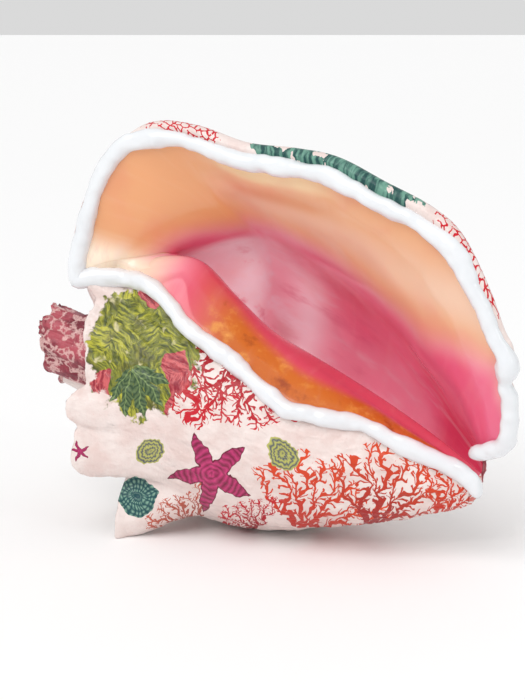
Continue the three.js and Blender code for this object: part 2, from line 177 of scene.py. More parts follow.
def natural(angle, row, knobs=True):
    """The spiral's outside: rows 0 to 1 from suture to shoulder, 1 to 2 down the body."""
    angle, row = np.broadcast_arrays(np.asarray(angle, float), np.asarray(row, float))
    x1, r1 = shoulder_along(angle), shoulder_out(angle)
    x0, r0 = shoulder_along(angle - 360), shoulder_out(angle - 360)
    s = np.minimum(row, 1)
    xs, rs = x1 - 5 * ALONG_GROWTH ** turns(angle), r1 + .5 * OUT_GROWTH ** turns(angle)
    past = np.clip((s - .8) / .2, 0, 1)
    step = 1 - smooth((angle - 140) / 90)
    plain = curve(s, RAMP_PLAIN)
    fx, fr = np.moveaxis(plain + step[..., None] * (curve(s, RAMP_STEP) - plain), -1, 0)
    x = x0 + fx * (xs - x0) + past * (x1 - xs)
    r = r0 + fr * (rs - r0) + past * (r1 - rs)
    q = np.clip(row - 1, 0, 1)
    belly = .16 * hump(angle, 200, 50) * curve(q, BELLY)
    x = np.where(row > 1, x1 + q * (LENGTH - x1), x)
    r = np.where(row > 1, r1 * taper(q) * (1 + belly), r)
    if knobs:
        h, lean = spines(angle, row)
        below, below_lean = spines(angle - 360, np.ones_like(row))
        near = 1 - smooth(row / .3)
        x, r = x - lean - below_lean * near, r + h + below * near
    return point(x, r, angle)


def inner_wall(angle, q):
    """The wall between the mouth and the earlier whorls, with its swollen crest."""
    x1 = shoulder_along(angle)
    swell = 1 + smooth((58 - angle) / 62) * smooth((angle + 30) / 40) * curve(q, SWELL)
    return point(x1 + q * (LENGTH - x1), shoulder_out(angle) * taper(q) * swell, angle)


def lip_outside(t, row, knobs=True):
    """The last half whorl, to FLARE_AT on the spiral and from there opening like a bell to the lip edge."""
    t, row = np.broadcast_arrays(np.asarray(t, float), np.asarray(row, float))
    start = curve(row, FLARE_FROM)
    angle = LIP_START + np.minimum(1, t / FLARE_AT) * (start - LIP_START)
    root, edge = natural(start, row, False), curve(row, RIM) + curve(row, RIM_OUT)
    ahead = natural(start + 1, row, False) - natural(start - 1, row, False)
    out = (edge - root) * (1, 1, FLARE_FLAT)
    reach = np.linalg.norm(edge - root, axis=-1, keepdims=True)
    ahead, out = (v * reach / np.linalg.norm(v, axis=-1, keepdims=True) for v in (ahead, out))
    u = np.clip((t - FLARE_AT) / (1 - FLARE_AT), 0, 1)[..., None]
    bell = (2 * u**3 - 3 * u**2) * (root - edge) + (u**3 - 2 * u**2 + u) * ahead + (u**3 - u**2) * out
    return natural(angle, row, knobs) + bell


def lip_normal(t, row):
    t, row = np.broadcast_arrays(np.asarray(t, float), np.asarray(row, float))
    d = .004
    u = lip_outside(np.minimum(1, t + d), row, False) - lip_outside(np.maximum(0, t - d), row, False)
    v = lip_outside(t, np.minimum(2, row + d), False) - lip_outside(t, np.maximum(0, row - d), False)
    n = np.cross(u, v)
    return n / np.maximum(1e-9, np.linalg.norm(n, axis=-1, keepdims=True))


def lip_inside(t, row):
    """The inside: the wall thickens to the edge and thins to the siphon end."""
    t, row = np.broadcast_arrays(np.asarray(t, float), np.asarray(row, float))
    thick = (WALL + LIP_EXTRA * t**3) * np.where(row > 1.7, 1 - (row - 1.7) * 1.8, 1)
    return lip_outside(t, row, False) - lip_normal(t, row) * thick[..., None]


def grain(p, size, seed=0.):
    """Smooth random waves about 0 over points in millimetres."""
    turn = np.random.default_rng(int(seed) + 7)
    total = 0
    for k in range(9):
        way = turn.normal(size=3)
        way = way / np.linalg.norm(way) * turn.uniform(.7, 1.5) * 2 * np.pi / size
        total = total + np.sin(p @ way + turn.uniform(0, 6.3) + 1.5 * np.sin(p @ np.roll(way, 1) * .6))
    return total / 3


def normals(p):
    n = np.cross(np.gradient(p, axis=0), np.gradient(p, axis=1))
    return n / np.maximum(1e-9, np.linalg.norm(n, axis=-1, keepdims=True))


def creased(p, amount=1.):
    """Paper glued on by hand: low swells and narrow creases."""
    fold = np.maximum(0, .35 - np.abs(grain(p, 11, 3))) + .7 * np.maximum(0, .3 - np.abs(grain(p, 7, 5)))
    lift = .25 * grain(p, 15) + .13 * grain(p, 6, 2) + 1.2 * fold - .3
    flat = smooth((p[..., 2] - .5) / 4)
    return p + normals(p) * (lift * amount * flat)[..., None]


# Meshes from grids of points

def grid_faces(n, m, start, flip):
    i, j = np.meshgrid(np.arange(n - 1), np.arange(m - 1), indexing="ij")
    a = (start + i * m + j).ravel()
    quads = np.stack([a, a + m, a + m + 1, a + 1], -1)
    return quads[:, ::-1] if flip else quads


class Skin:
    """Grids of points that become one mesh, with a flat print place and a tint for each point."""

    def __init__(self):
        self.points, self.faces, self.slots, self.prints, self.tints = [], [], [], [], []
        self.count = 0

    def add(self, p, slot=0, prints=None, tint=None, flip=False):
        """slot is a material number, or one for each face as an array of (columns - 1, rows - 1)."""
        n, m = p.shape[:2]
        self.points.append(p.reshape(-1, 3))
        self.faces.append(grid_faces(n, m, self.count, flip))
        self.slots.append(np.broadcast_to(slot, (n - 1, m - 1)).ravel())
        self.prints.append((front_print(p) if prints is None else prints).reshape(-1, 2))
        tint = np.r_[1, 1, 1, 0.] if tint is None else tint
        self.tints.append(np.broadcast_to(tint, (n, m, 4)).reshape(-1, 4))
        self.count += n * m

    def build(self, name, materials):
        points = np.concatenate(self.points) / 1000
        faces = np.concatenate(self.faces)
        prints, tints = np.concatenate(self.prints), np.concatenate(self.tints)
        mesh = bpy.data.meshes.new(name)
        mesh.vertices.add(len(points))
        mesh.vertices.foreach_set("co", points.astype(np.float32).ravel())
        mesh.loops.add(faces.size)
        mesh.loops.foreach_set("vertex_index", faces.astype(np.int32).ravel())
        mesh.polygons.add(len(faces))
        mesh.polygons.foreach_set("loop_start", np.arange(0, faces.size, 4, dtype=np.int32))
        mesh.polygons.foreach_set("material_index", np.concatenate(self.slots).astype(np.int32))
        mesh.polygons.foreach_set("use_smooth", np.ones(len(faces), bool))
        uv = mesh.uv_layers.new(name="print")
        uv.data.foreach_set("uv", prints[faces.ravel()].astype(np.float32).ravel())
        tint = mesh.color_attributes.new("tint", "FLOAT_COLOR", "POINT")
        tint.data.foreach_set("color", tints.astype(np.float32).ravel())
        mesh.update(calc_edges=True)
        mesh.validate()
        made = bmesh.new()
        made.from_mesh(mesh)
        bmesh.ops.remove_doubles(made, verts=made.verts, dist=1e-6)
        bmesh.ops.dissolve_degenerate(made, edges=made.edges, dist=1e-7)
        made.to_mesh(mesh)
        made.free()
        for material in materials:
            mesh.materials.append(material)
        piece = bpy.data.objects.new(name, mesh)
        bpy.context.scene.collection.objects.link(piece)
        return piece


# The camera: its elevation, the place it looks at, its distance in metres, its sensor and lens
LEAN = math.radians(12)
MIDDLE = np.array((.805, -20.738, 87.3))
CAMERA_FAR, SENSOR = .72, 36
LENS = SENSOR * 1600 / 700
# how far the back's print lies from the front's, in millimetres
BACK_SHIFT = 300


def front_print(p):
    """Where a point lands on a sheet held up in front of the shell, in millimetres."""
    d = p - MIDDLE
    return np.stack([d[..., 0], d[..., 2] * math.cos(LEAN) + d[..., 1] * math.sin(LEAN)], -1)


def back_print(p):
    """The same for a sheet behind the shell."""
    d = p - MIDDLE
    return np.stack([BACK_SHIFT - d[..., 0], d[..., 2] * math.cos(LEAN) - d[..., 1] * math.sin(LEAN)], -1)


def linear(*rgb):
    c = np.array(rgb, float) / 255
    return np.where(c <= .04045, c / 12.92, ((c + .055) / 1.055) ** 2.4)


def blend(under, over, amount):
    return under + (over - under) * np.clip(amount, 0, 1)[..., None]


def place(a, b):
    return np.stack(np.broadcast_arrays(a, b), -1)


# The outside: spire, last whorl, back of the lip and its edge

FRONT_PAPER, BACK_PAPER, SPIRE_PAPER, MARGIN_PAPER = range(4)
PAPER_SEAM, HEM_FROM = 190, .9
LIP_PRINT, EDGE_PRINT = 130, .9
SHELF_GRID, SHELF_DEEP, SHELF_SAG = (30, 16), .48, 2.2
BODY_STEPS, UNDER_STEPS, LIP_STEPS, EDGE_STEPS, SPIRE_STEPS, TIP_STEPS = 170, 20, 130, 10, 330, 60
# rows of the fine grids: even over the ramp, closer together to the siphon end
RAMP = np.linspace(0, 1, 31)
DOWN = 1 - (1 - np.linspace(0, 1, 126)) ** 1.2
ROWS = np.r_[RAMP, 1 + DOWN[1:]]
# share of the lip where its polished inside ends
HEM = curve(ROWS, [(0, .985), (.8, .985), (1.1, .955), (2, .955)])


def body_skin(angle, row):
    """The outside of the last whorl, swelling to the callus near its border."""
    q = np.clip(row - 1, 0, 1)
    plain = natural(angle, row)
    near = np.maximum(smooth((angle - 40) / 18), 1 - smooth(q / .1))
    near = np.where(row <= 1, 1, near)[..., None]
    return plain * near + inner_wall(angle, q) * (1 - near)


def outside():
    """The papered skin."""
    skin = Skin()
    start = np.where(ROWS > 1, curve(ROWS - 1, BORDER), SPIRE_END)[None]
    s = np.linspace(0, 1, BODY_STEPS)[:, None]
    angle, row = np.broadcast_arrays(start + s * (PAPER_SEAM - start), ROWS[None])
    inner = (row < .5) & (angle < 150)
    front = world(body_skin(angle, row))
    skin.add(creased(front), np.where(inner, SPIRE_PAPER, FRONT_PAPER)[:-1, :-1], front_print(front))
    angle = np.linspace(PAPER_SEAM, LIP_START, UNDER_STEPS)[:, None]
    under = world(natural(*np.broadcast_arrays(angle, ROWS[None])))
    skin.add(creased(under), BACK_PAPER, back_print(under))

    # the back of the lip, its rounded edge, and the hem that the bead lies on
    t = np.linspace(0, 1, LIP_STEPS)[:, None]
    lip = world(lip_outside(t, ROWS[None]))
    rim = curve(ROWS, RIM)
    far = np.r_[0, np.cumsum(np.linalg.norm(np.diff(rim, axis=0), axis=1))]
    hem = t > HEM_FROM
    prints = np.where(hem[..., None], place(far[None], (1 - t) * LIP_PRINT), back_print(lip))
    skin.add(creased(lip), np.where(hem, MARGIN_PAPER, BACK_PAPER)[:-1] + 0 * ROWS[None, 1:], prints)
    s = np.linspace(0, 1, EDGE_STEPS)[:, None, None]
    a, b = lip_outside(1., ROWS), lip_inside(1., ROWS)
    out = a - lip_outside(.97, ROWS)
    out /= np.maximum(1e-6, np.linalg.norm(out, axis=-1, keepdims=True))
    edge = a + (b - a) * s + out * np.sin(np.pi * s) * 2
    back = lip_inside(1 - np.linspace(0, 1, 7)[1:, None] * (1 - HEM), ROWS[None])
    edge = world(np.concatenate([edge, back]))
    skin.add(edge, MARGIN_PAPER, place(far[None], -np.arange(len(edge))[:, None] * EDGE_PRINT))

    angle = np.linspace(SPIRE_START, SPIRE_END, SPIRE_STEPS)[:, None]
    spire = world(natural(*np.broadcast_arrays(angle, RAMP[None])))
    skin.add(creased(spire, 1.3), SPIRE_PAPER)
    tip = np.stack([lip_tip(), np.broadcast_to(point(LENGTH + 3, 0, 0), (TIP_STEPS, 3))], 1)
    skin.add(world(tip), FRONT_PAPER)
    skin.add(world(flange(True)), FRONT_PAPER)
    return skin


def lip_tip():
    """The edge of the siphon end, which a small cap closes."""
    angle = np.linspace(WALL_START, DEEP, TIP_STEPS)
    late = natural(angle, np.full(TIP_STEPS, 2.))
    return np.where((angle > 58)[:, None], late, inner_wall(angle, np.ones(TIP_STEPS)))


def flange(under):
    """The shelf in the mouth's back corner."""
    t = np.linspace(0, 1, SHELF_GRID[0])
    u = np.linspace(0, 1, SHELF_GRID[1])[None, :, None]
    along = 1 - SHELF_DEEP * t
    thick = (WALL + LIP_EXTRA * along**3)[:, None]
    p = lip_outside(along, 0 * t, False) - lip_normal(along, 0 * t) * thick * .6
    p = p + np.where(t == 0, 1, 0)[:, None] * np.array((-2, 3, 1))
    q = curve(t, CORNER) + np.array((-1.5, 0, 2))
    top = p[:, None] + (q - p)[:, None] * u + np.array((0, 1, .4)) * (-SHELF_SAG * np.sin(np.pi * u))
    return top + np.array((.2, -.85, -.45)) * WALL if under else top


# The mouth: polished inside of the lip, and the callus

INSIDE_STEPS, WALL_STEPS, SOFT_PASSES = 120, 100, 120
BRIDGE_GRID = 40, 24
PAST_HEM = 1.005
SINK_ALONG, SINK_IN = 4, 7
PEACH, PAINTED_SHEEN, PINK = linear(234, 164, 112), linear(240, 202, 176), linear(236, 100, 136)
CRIMSON, ROSY, GREY = linear(218, 50, 90), linear(242, 152, 174), linear(240, 224, 230)
CREAM, AMBER, BROWN = linear(252, 236, 214), linear(206, 108, 32), linear(190, 120, 126)
CORAL, FOLD_SHADE, FOLD_HIGHLIGHT = linear(224, 88, 112), linear(206, 122, 70), linear(246, 218, 172)
# row, then the share of the lip where the pink begins, and where it is deepest
PINK_EDGE = [(0, .7), (.2, .7), (.4, .7), (.6, .65), (.9, .63), (1.15, .69), (1.4, .67), (1.63, .67),
             (1.75, .71), (1.83, .82), (1.9, .93), (2, 1)]
DEEP_PINK = [(.6, .6), (.9, .57), (1.15, .53), (1.3, .47), (1.65, .5), (1.83, .42), (2, .4)]


def lip_tint(t, row):
    """Colour of the lip's inside, with a painted glow as its fourth value: painted light in the shaded depth
    and on the cream shelf.
    """
    t, row = np.broadcast_arrays(t, row)
    edge, core = curve(row, PINK_EDGE), curve(row, DEEP_PINK)
    c = np.broadcast_to(PEACH, t.shape + (3,))
    # a pale band on the lip above the pink: painted soft reflection
    c = blend(c, PAINTED_SHEEN, .85 * hump(t, edge + .13, .09) * smooth((row - .9) / .3))
    c = blend(c, ROSY, .8 * smooth((edge + .07 - t) / .14))
    c = blend(c, PINK, smooth((edge - .01 - t) / .1))
    c = blend(c, CRIMSON, .75 * hump(t, core, .05) * smooth((row - .9) / .2))
    c = blend(c, ROSY, .6 * smooth((core - .08 - t) / .1) * smooth((row - 1) / .2))
    c = blend(c, GREY, .95 * smooth((.58 - t) / .09) * hump(row, .62, .42))
    c = blend(c, GREY, .6 * hump(row, 1.17, .09) * smooth((.5 - t) / .1))
    c = blend(c, BROWN, .55 * hump(row, 1.08, .06) * smooth((.36 - t) / .1))
    c = blend(c, CRIMSON, .8 * smooth((row - 1.72) / .15) * smooth((.66 - t) / .3))
    # along the lip's upper fold: a painted shade line, and next to the bead a painted highlight band
    fold = smooth((row - 1.02) / .12) * smooth((1.52 - row) / .2)
    c = blend(c, FOLD_SHADE, .5 * hump(t, .855, .03) * fold)
    c = blend(c, FOLD_HIGHLIGHT, .75 * smooth((t - .885) / .03) * fold)
    c = blend(c, CREAM, .95 * smooth((.38 - row) / .2) * smooth((t - .55) / .15))
    # painted light: a glow that lightens the shaded depth, its pale streak and the cream shelf
    painted_glow = .15 * smooth((.66 - t) / .35) + .26 * hump(row, .62, .36) * smooth((.52 - t) / .14)
    painted_glow = painted_glow + .12 * hump(row, 1.15, .12) * smooth((.5 - t) / .12)
    painted_glow = painted_glow + .12 * smooth((.38 - row) / .2) * smooth((t - .55) / .15)
    return np.concatenate([c, painted_glow[..., None]], -1)


def callus_tint(angle, q):
    """The same for the inner wall, whose front is the callus."""
    angle, q = np.broadcast_arrays(angle, q)
    inward = curve(q, BORDER) - angle
    c = np.broadcast_to(CORAL, q.shape + (3,))
    c = blend(c, CRIMSON, .6 * hump(q, .17, .08) * hump(angle, 12, 26))
    c = blend(c, AMBER, smooth((44 - inward) / 18) * smooth((q - .2) / .16) * smooth((1 - q) / .1))
    c = blend(c, ROSY, .7 * smooth((-20 - angle) / 30))
    c = blend(c, GREY, .6 * smooth((-60 - angle) / 40))
    # pale pink along the crest of the wall: painted highlight
    c = blend(c, ROSY, .85 * smooth((.25 - q) / .1) * smooth((26 - angle) / 12))
    c = blend(c, CREAM, smooth((.19 - q) / .12) * smooth((angle + 40) / 30))
    # fourth value: painted glow, stronger deeper in the mouth where shade falls
    return np.concatenate([c, .12 * smooth((0 - angle) / 60)[..., None]], -1)


def bridge():
    """The soft hollow between the lip and the crest of the wall, running down into the depth."""
    s, u = np.linspace(0, 1, BRIDGE_GRID[0])[:, None], np.linspace(0, 1, BRIDGE_GRID[1])[None]
    wide = 1 - smooth((s - .55) / .45)
    lip = lip_inside(.96 - .52 * s, .06 + .46 * s * wide)
    wall = inner_wall(22 - 12 * s - 35 * (1 - wide), .26 * s * wide)
    sag = (2.5 + 9 * smooth((s - .25) / .75)) * wide * 4 * u * (1 - u)
    p = lip + (wall - lip) * u[..., None] + np.array((-.41, -.1, -.9)) * sag[..., None]
    c = blend(np.broadcast_to(CREAM, p.shape), ROSY, smooth((s - .3) / .35) + 0 * u)
    c = blend(c, PINK, .6 * smooth((s - .5) / .2) + 0 * u)
    c = blend(c, PEACH, (1 - smooth(u / .35)) * smooth((s - .25) / .2) * (1 - smooth((s - .55) / .25)))
    c = blend(c, GREY, .85 * smooth((s - .72) / .25) + 0 * u)
    # fourth value: painted glow that lightens the shaded hollow, more towards the depth
    return p, np.concatenate([c, (.1 + .16 * smooth((s - .5) / .5))[..., None] + 0 * u[..., None]], -1)


def mouth():
    """The polished skin: inside of the lip, inner wall, the hollow between them and the shelf."""
    skin = Skin()
    t, rows = np.broadcast_arrays(np.linspace(0, PAST_HEM, INSIDE_STEPS)[:, None] * HEM, ROWS[None])
    inside = lip_inside(t, rows)
    soft = (smooth((ROWS - .45) / .2) * smooth((1.5 - ROWS) / .3))[None, 1:-1, None] * .5
    soft = soft * smooth((.8 - t) / .2)[:, 1:-1, None]
    for _ in range(SOFT_PASSES):
        inside[:, 1:-1] += soft * ((inside[:, :-2] + inside[:, 2:]) / 2 - inside[:, 1:-1])
    # one more row runs from the suture into the shell's body, so that no gap shows
    first = inside[:, :1]
    r = np.hypot(first[..., 1:2], first[..., 2:3])
    deep = 1 - t[:, :1, None] ** 4
    sunk = [first[..., :1] + SINK_ALONG * deep, first[..., 1:] * (1 - SINK_IN * deep / r)]
    sunk = np.concatenate(sunk, -1)
    tint = lip_tint(t, rows)
    grid = world(np.concatenate([sunk, inside], 1))
    uneven = .35 * grain(grid, 42, 4)[:, 1:] * smooth((HEM - t) / .1)
    grid[:, 1:] += normals(grid)[:, 1:] * uneven[..., None]
    doubled = np.r_[0, :len(ROWS)]
    skin.add(grid, 0, place(t, rows)[:, doubled], tint[:, doubled], True)
    q = DOWN[None]
    s = np.linspace(0, 1, WALL_STEPS)[:, None]
    angle = WALL_START + s * (curve(q, BORDER) - WALL_START)
    skin.add(world(inner_wall(angle, q)), 1, place(angle / 100, q * 2), callus_tint(angle, q))
    hollow, tint = bridge()
    streaks = place(np.linspace(.8, .4, BRIDGE_GRID[0])[:, None], np.zeros((1, BRIDGE_GRID[1])))
    skin.add(world(hollow), 0, streaks, tint)
    shelf = world(flange(False))
    skin.add(shelf, 1, front_print(shelf) / 100, np.r_[CREAM, 0], True)
    return skin


# The bead round the mouth

BEAD_STEPS, BEAD_SIDES, FILL_GRID = 560, 24, (24, 16)
LOBE, NOTCH_BEFORE = (233.5, 62, 20), 7


def bead_line():
    """The middle of the bead: distances along it and points, from the siphon end round to the siphon end."""
    lift = np.array((0, 0, BEAD_LIFT))
    pts = [np.array(r[1:]) + lift for r in RIM[::-1]]
    pts += [curve(t, CORNER) + lift for t in (.25, .45, .65)]
    for q, angle in BORDER[1:-1]:
        p = inner_wall(np.array(float(angle)), np.array(float(q)))
        pts.append(p * np.r_[1, [1 + BEAD_LIFT / np.hypot(p[1], p[2])] * 2])
    pts += [point(LENGTH + 1, 8, 75), point(LENGTH + 3.5, 5.5, 115)]
    pts = np.array(pts)
    step = np.sqrt(np.linalg.norm(np.diff(pts, axis=0), axis=1))
    knots = np.r_[0, np.cumsum(step)]
    fine = curve(np.linspace(0, knots[-1], 3000), list(np.c_[knots, pts]))
    far = np.r_[0, np.cumsum(np.linalg.norm(np.diff(fine, axis=0), axis=1))]
    even = np.linspace(0, far[-1], BEAD_STEPS)
    return even, np.stack([np.interp(even, far, fine[:, k]) for k in range(3)], -1)


def bead():
    """A soft uneven tube along the mouth's margin."""
    skin = Skin()
    far, line = bead_line()
    corner, lobe = (far[np.argmin(np.linalg.norm(line - p, axis=1))] for p in (RIM[0][1:], LOBE))
    notch = lobe - NOTCH_BEFORE
    fat = 1 + .07 * np.sin(far / 8.3 + 1) + .06 * np.sin(far / 4.6 + 2.2) + .05 * np.sin(far / 13.7)
    fat += .2 * hump(far, corner, 14) + .3 * hump(far, lobe, 5) - .35 * hump(far, notch, 2.5)
    round_end = np.minimum(far / 11, (far[-1] - far) / 5)
    radius = BEAD_RADIUS * fat * np.sqrt(np.clip(1 - (1 - np.minimum(round_end, 1)) ** 2, .002, 1))
    ahead = np.gradient(line, axis=0)
    ahead /= np.linalg.norm(ahead, axis=1, keepdims=True)
    side = np.cross(ahead[0], (0, 0, 1.))
    sides = []
    for a in ahead:
        side = side - a * (side @ a)
        side = side / np.linalg.norm(side)
        sides.append(side)
    sides = np.array(sides)
    ups = np.cross(ahead, sides)
    f = np.linspace(0, 2 * np.pi, BEAD_SIDES + 1)[None, :, None]
    ring = sides[:, None] * np.cos(f) + ups[:, None] * np.sin(f)
    wave = 1 + .05 * np.sin(far / 7.3)[:, None, None] * np.sin(2 * f + far[:, None, None] / 16)
    tube = line[:, None] + ring * radius[:, None, None] * wave
    lump = .09 * grain(tube, 17, 8) + .04 * grain(tube, 8, 9)
    lump[:, -1] = lump[:, 0]
    skin.add(world(tube + ring * (radius[:, None] * lump)[..., None]))

    # the fill in the back corner
    u = np.linspace(0, 1, FILL_GRID[0])
    v = np.linspace(0, 1, FILL_GRID[1])[None, :, None]
    a, b = curve(.13 * u, RIM)[:, None], curve(.34 * u, CORNER)[:, None]
    web = a + (b - a) * v + np.array((0, 0, 1)) * (1.5 - 2.5 * np.sin(np.pi * v) * u[:, None, None])
    skin.add(world(web))
    return skin


# Shader building

class Num:
    """A number in a shader, so that formulas can be written as formulas."""

    def __init__(self, tree, out):
        self.tree, self.out = tree, out

    def op(self, name, *others, first=None, clamp=False):
        node = self.tree.nodes.new("ShaderNodeMath")
        node.operation, node.use_clamp = name, clamp
        for socket, value in zip(node.inputs, ([first] if first is not None else []) + [self, *others]):
            feed(self.tree, socket, value)
        return Num(self.tree, node.outputs[0])

    def __add__(self, o): return self.op("ADD", o)
    def __sub__(self, o): return self.op("SUBTRACT", o)
    def __mul__(self, o): return self.op("MULTIPLY", o)
    def __truediv__(self, o): return self.op("DIVIDE", o)
    def __rsub__(self, o): return self.op("SUBTRACT", first=o)
    def __lt__(self, o): return self.op("LESS_THAN", o)
    def __gt__(self, o): return self.op("GREATER_THAN", o)
    def __abs__(self): return self.op("ABSOLUTE")
    def __pow__(self, o): return self.op("POWER", o)
    __radd__, __rmul__ = __add__, __mul__

    def ease(self, low, high):
        node = put(self.tree, "ShaderNodeMapRange", {0: self, 1: low, 2: high},
                   interpolation_type="SMOOTHSTEP")
        return Num(self.tree, node.outputs[0])


def feed(tree, socket, value):
    if isinstance(value, Num):
        tree.links.new(value.out, socket)
    elif isinstance(value, bpy.types.NodeSocket):
        tree.links.new(value, socket)
    else:
        socket.default_value = value


def put(tree, kind, inputs=None, **settings):
    node = tree.nodes.new(kind)
    for key, value in settings.items():
        setattr(node, key, value)
    for key, value in (inputs or {}).items():
        feed(tree, node.inputs[key], value)
    return node


def rgba(*rgb):
    return (*linear(*rgb), 1)


def mix(tree, amount, a, b):
    node = put(tree, "ShaderNodeMix", {0: amount, 6: a, 7: b}, data_type="RGBA")
    return node.outputs[2]


def noise(tree, vector, scale, detail=3., rough=.5, out=0):
    node = put(tree, "ShaderNodeTexNoise", {
        "Vector": vector, "Scale": scale, "Detail": detail, "Roughness": rough})
    return Num(tree, node.outputs[out])


def motif(name, draw):
    """A printed figure as a node group: place in, cover and shade out."""
    tree = bpy.data.node_groups.new(name, "ShaderNodeTree")
    tree.interface.new_socket("place", in_out="INPUT", socket_type="NodeSocketVector")
    for out in ("cover", "shade"):
        tree.interface.new_socket(out, in_out="OUTPUT", socket_type="NodeSocketFloat")
    split = put(tree, "ShaderNodeSeparateXYZ", {0: put(tree, "NodeGroupInput").outputs[0]})
    x, y = Num(tree, split.outputs[0]), Num(tree, split.outputs[1])
    cover, shade = draw(x, y)
    put(tree, "NodeGroupOutput", {"cover": cover, "shade": shade})
    return tree


def folded(x, y, step):
    """Polar place, and branches every so many radians about +y: which one, how far along, how far beside."""
    r = (x * x + y * y) ** .5
    a = x.op("ARCTAN2", y)
    k = (a / step).op("ROUND")
    rest = a - k * step
    return r, a, k, r * rest.op("COSINE"), r * rest.op("SINE")


def fan(x, y):
    """A sea fan: stems from one root that fork again and again, with short twigs on both sides."""
    tree = x.tree
    spot = put(tree, "ShaderNodeCombineXYZ", {0: x, 1: y}).outputs[0]
    bend = put(tree, "ShaderNodeSeparateColor", {0: noise(tree, spot, 3.4, 2., out=1)})
    x, y = x + (Num(tree, bend.outputs[0]) - .5) * .34, y + (Num(tree, bend.outputs[1]) - .5) * .34
    r, _, k, y, x = folded(x, y, .48)
    y = y + (k * 2.3).op("SINE") * .07
    cover = None
    for length, half, fork in ((.3, .021, .36), (.24, .017, .4), (.22, .015, .5), (.16, .013, .5)):
        beside = abs(x)
        spur = (y - beside + (x > 0.) * .045).op("PINGPONG", .045) < half * .8
        drawn = (beside < half).op("MAXIMUM", spur * (beside < .058)) * (y > -.01) * (y < length)
        cover = drawn if cover is None else cover.op("MAXIMUM", drawn)
        y = y - length
        x, y = beside * math.cos(fork) - y * math.sin(fork), beside * math.sin(fork) + y * math.cos(fork)
    return cover * (abs(k) < 2.5), r


def kelp(x, y):
    """Blades from one root, with veins."""
    _, a, k, along, beside = folded(x, y, .42)
    reach = 1 - k * k * .06 + (k * 3.1).op("SINE") * .08
    s = along / reach
    wide = (s * 3.14).op("SINE") * (1 + (along * 38).op("SINE") * .14) * .125
    off = abs(beside + (along * 6 + k).op("SINE") * .03)
    vein = (along - off * .9).op("PINGPONG", .05) * 14
    cover = (off < wide) * (s < 1.) * (abs(a) < 1.2)
    return cover, vein * .6 + (off < .012) * .5


def star(x, y):
    """A starfish with dotted arms."""
    r = (x * x + y * y) ** .5
    a = x.op("ARCTAN2", y).op("PINGPONG", .6283)
    reach = (1 - a / .6283) ** 1.7 * .66 + .34
    dots = r.op("PINGPONG", .06) * 12 + a * .5
    return r < reach, dots * (r < reach - .05)


def urchin(x, y):
    """A round test with ribs and rings."""
    r = (x * x + y * y) ** .5
    ribs = (x.op("ARCTAN2", y) * 22).op("SINE") * .5 + .5
    rings = r.op("PINGPONG", .11) * 9
    return r < 1., ribs * rings * (r > .14)


def limpet(x, y):
    """An oval shell with a ribbed edge and rings."""
    r = (x * x * 1.9 + y * y) ** .5
    ribs = (x.op("ARCTAN2", y) * 15).op("SINE") * .035
    return r + ribs < .94, (r + ribs).op("PINGPONG", .13) * 7.5


FAN, KELP, STAR = motif("fan", fan), motif("kelp", kelp), motif("star", star)
URCHIN, LIMPET = motif("urchin", urchin), motif("limpet", limpet)
RED, DARK_RED = rgba(202, 8, 34), rgba(150, 4, 24)
ORANGE, BRICK = rgba(220, 70, 22), rgba(190, 30, 14)
MAGENTA, ROSE = rgba(112, 4, 50), rgba(208, 56, 122)
LEAF, MOSS, LIME = rgba(122, 126, 38), rgba(66, 76, 28), rgba(188, 184, 58)
TEAL, SEA = rgba(8, 70, 76), rgba(138, 180, 158)
SLATE, STRAW = rgba(66, 74, 98), rgba(196, 194, 96)
RUST, CLAY = rgba(150, 62, 48), rgba(196, 96, 76)
BLADE, BLADE_VEIN = rgba(38, 66, 40), rgba(134, 156, 96)


def stamp(tree, under, at, group, dark, light, amount=None):
    """A figure printed over what lies under it."""
    figure = put(tree, "ShaderNodeGroup", node_tree=group)
    feed(tree, figure.inputs[0], at)
    cover, shade = Num(tree, figure.outputs["cover"]), Num(tree, figure.outputs["shade"])
    if amount is not None:
        cover = cover * amount
    return mix(tree, cover, under, mix(tree, shade, dark, light))


def stamp_at(tree, under, sheet, group, middle, size, turn, dark, light):
    """A figure on the front sheet: its middle or root in millimetres, its size, its turn in degrees."""
    at = put(tree, "ShaderNodeMapping", {
        "Vector": sheet, "Location": (*middle, 0), "Rotation": (0, 0, math.radians(turn)),
        "Scale": (size, size, 1)}, vector_type="TEXTURE")
    return stamp(tree, under, at.outputs[0], group, dark, light)


def paper_sheet(tree):
    """The print's flat place, a little wavy, and the bare paper's colour."""
    uv = put(tree, "ShaderNodeUVMap", uv_map="print").outputs[0]
    wave = noise(tree, uv, .16, 2., out=1)
    shift = put(tree, "ShaderNodeVectorMath", {0: wave.out, 1: (.5, .5, .5)}, operation="SUBTRACT")
    sheet = put(tree, "ShaderNodeVectorMath", {0: shift.outputs[0], 1: (5, 5, 0), 2: uv},
                operation="MULTIPLY_ADD")
    mottle = noise(tree, uv, .07, 5., .6)
    bare = mix(tree, mottle.ease(.35, .7), rgba(236, 222, 217), rgba(226, 203, 197))
    return sheet.outputs[0], mix(tree, noise(tree, uv, .9, 2.).ease(.68, .8) * .5, bare, rgba(216, 166, 158))


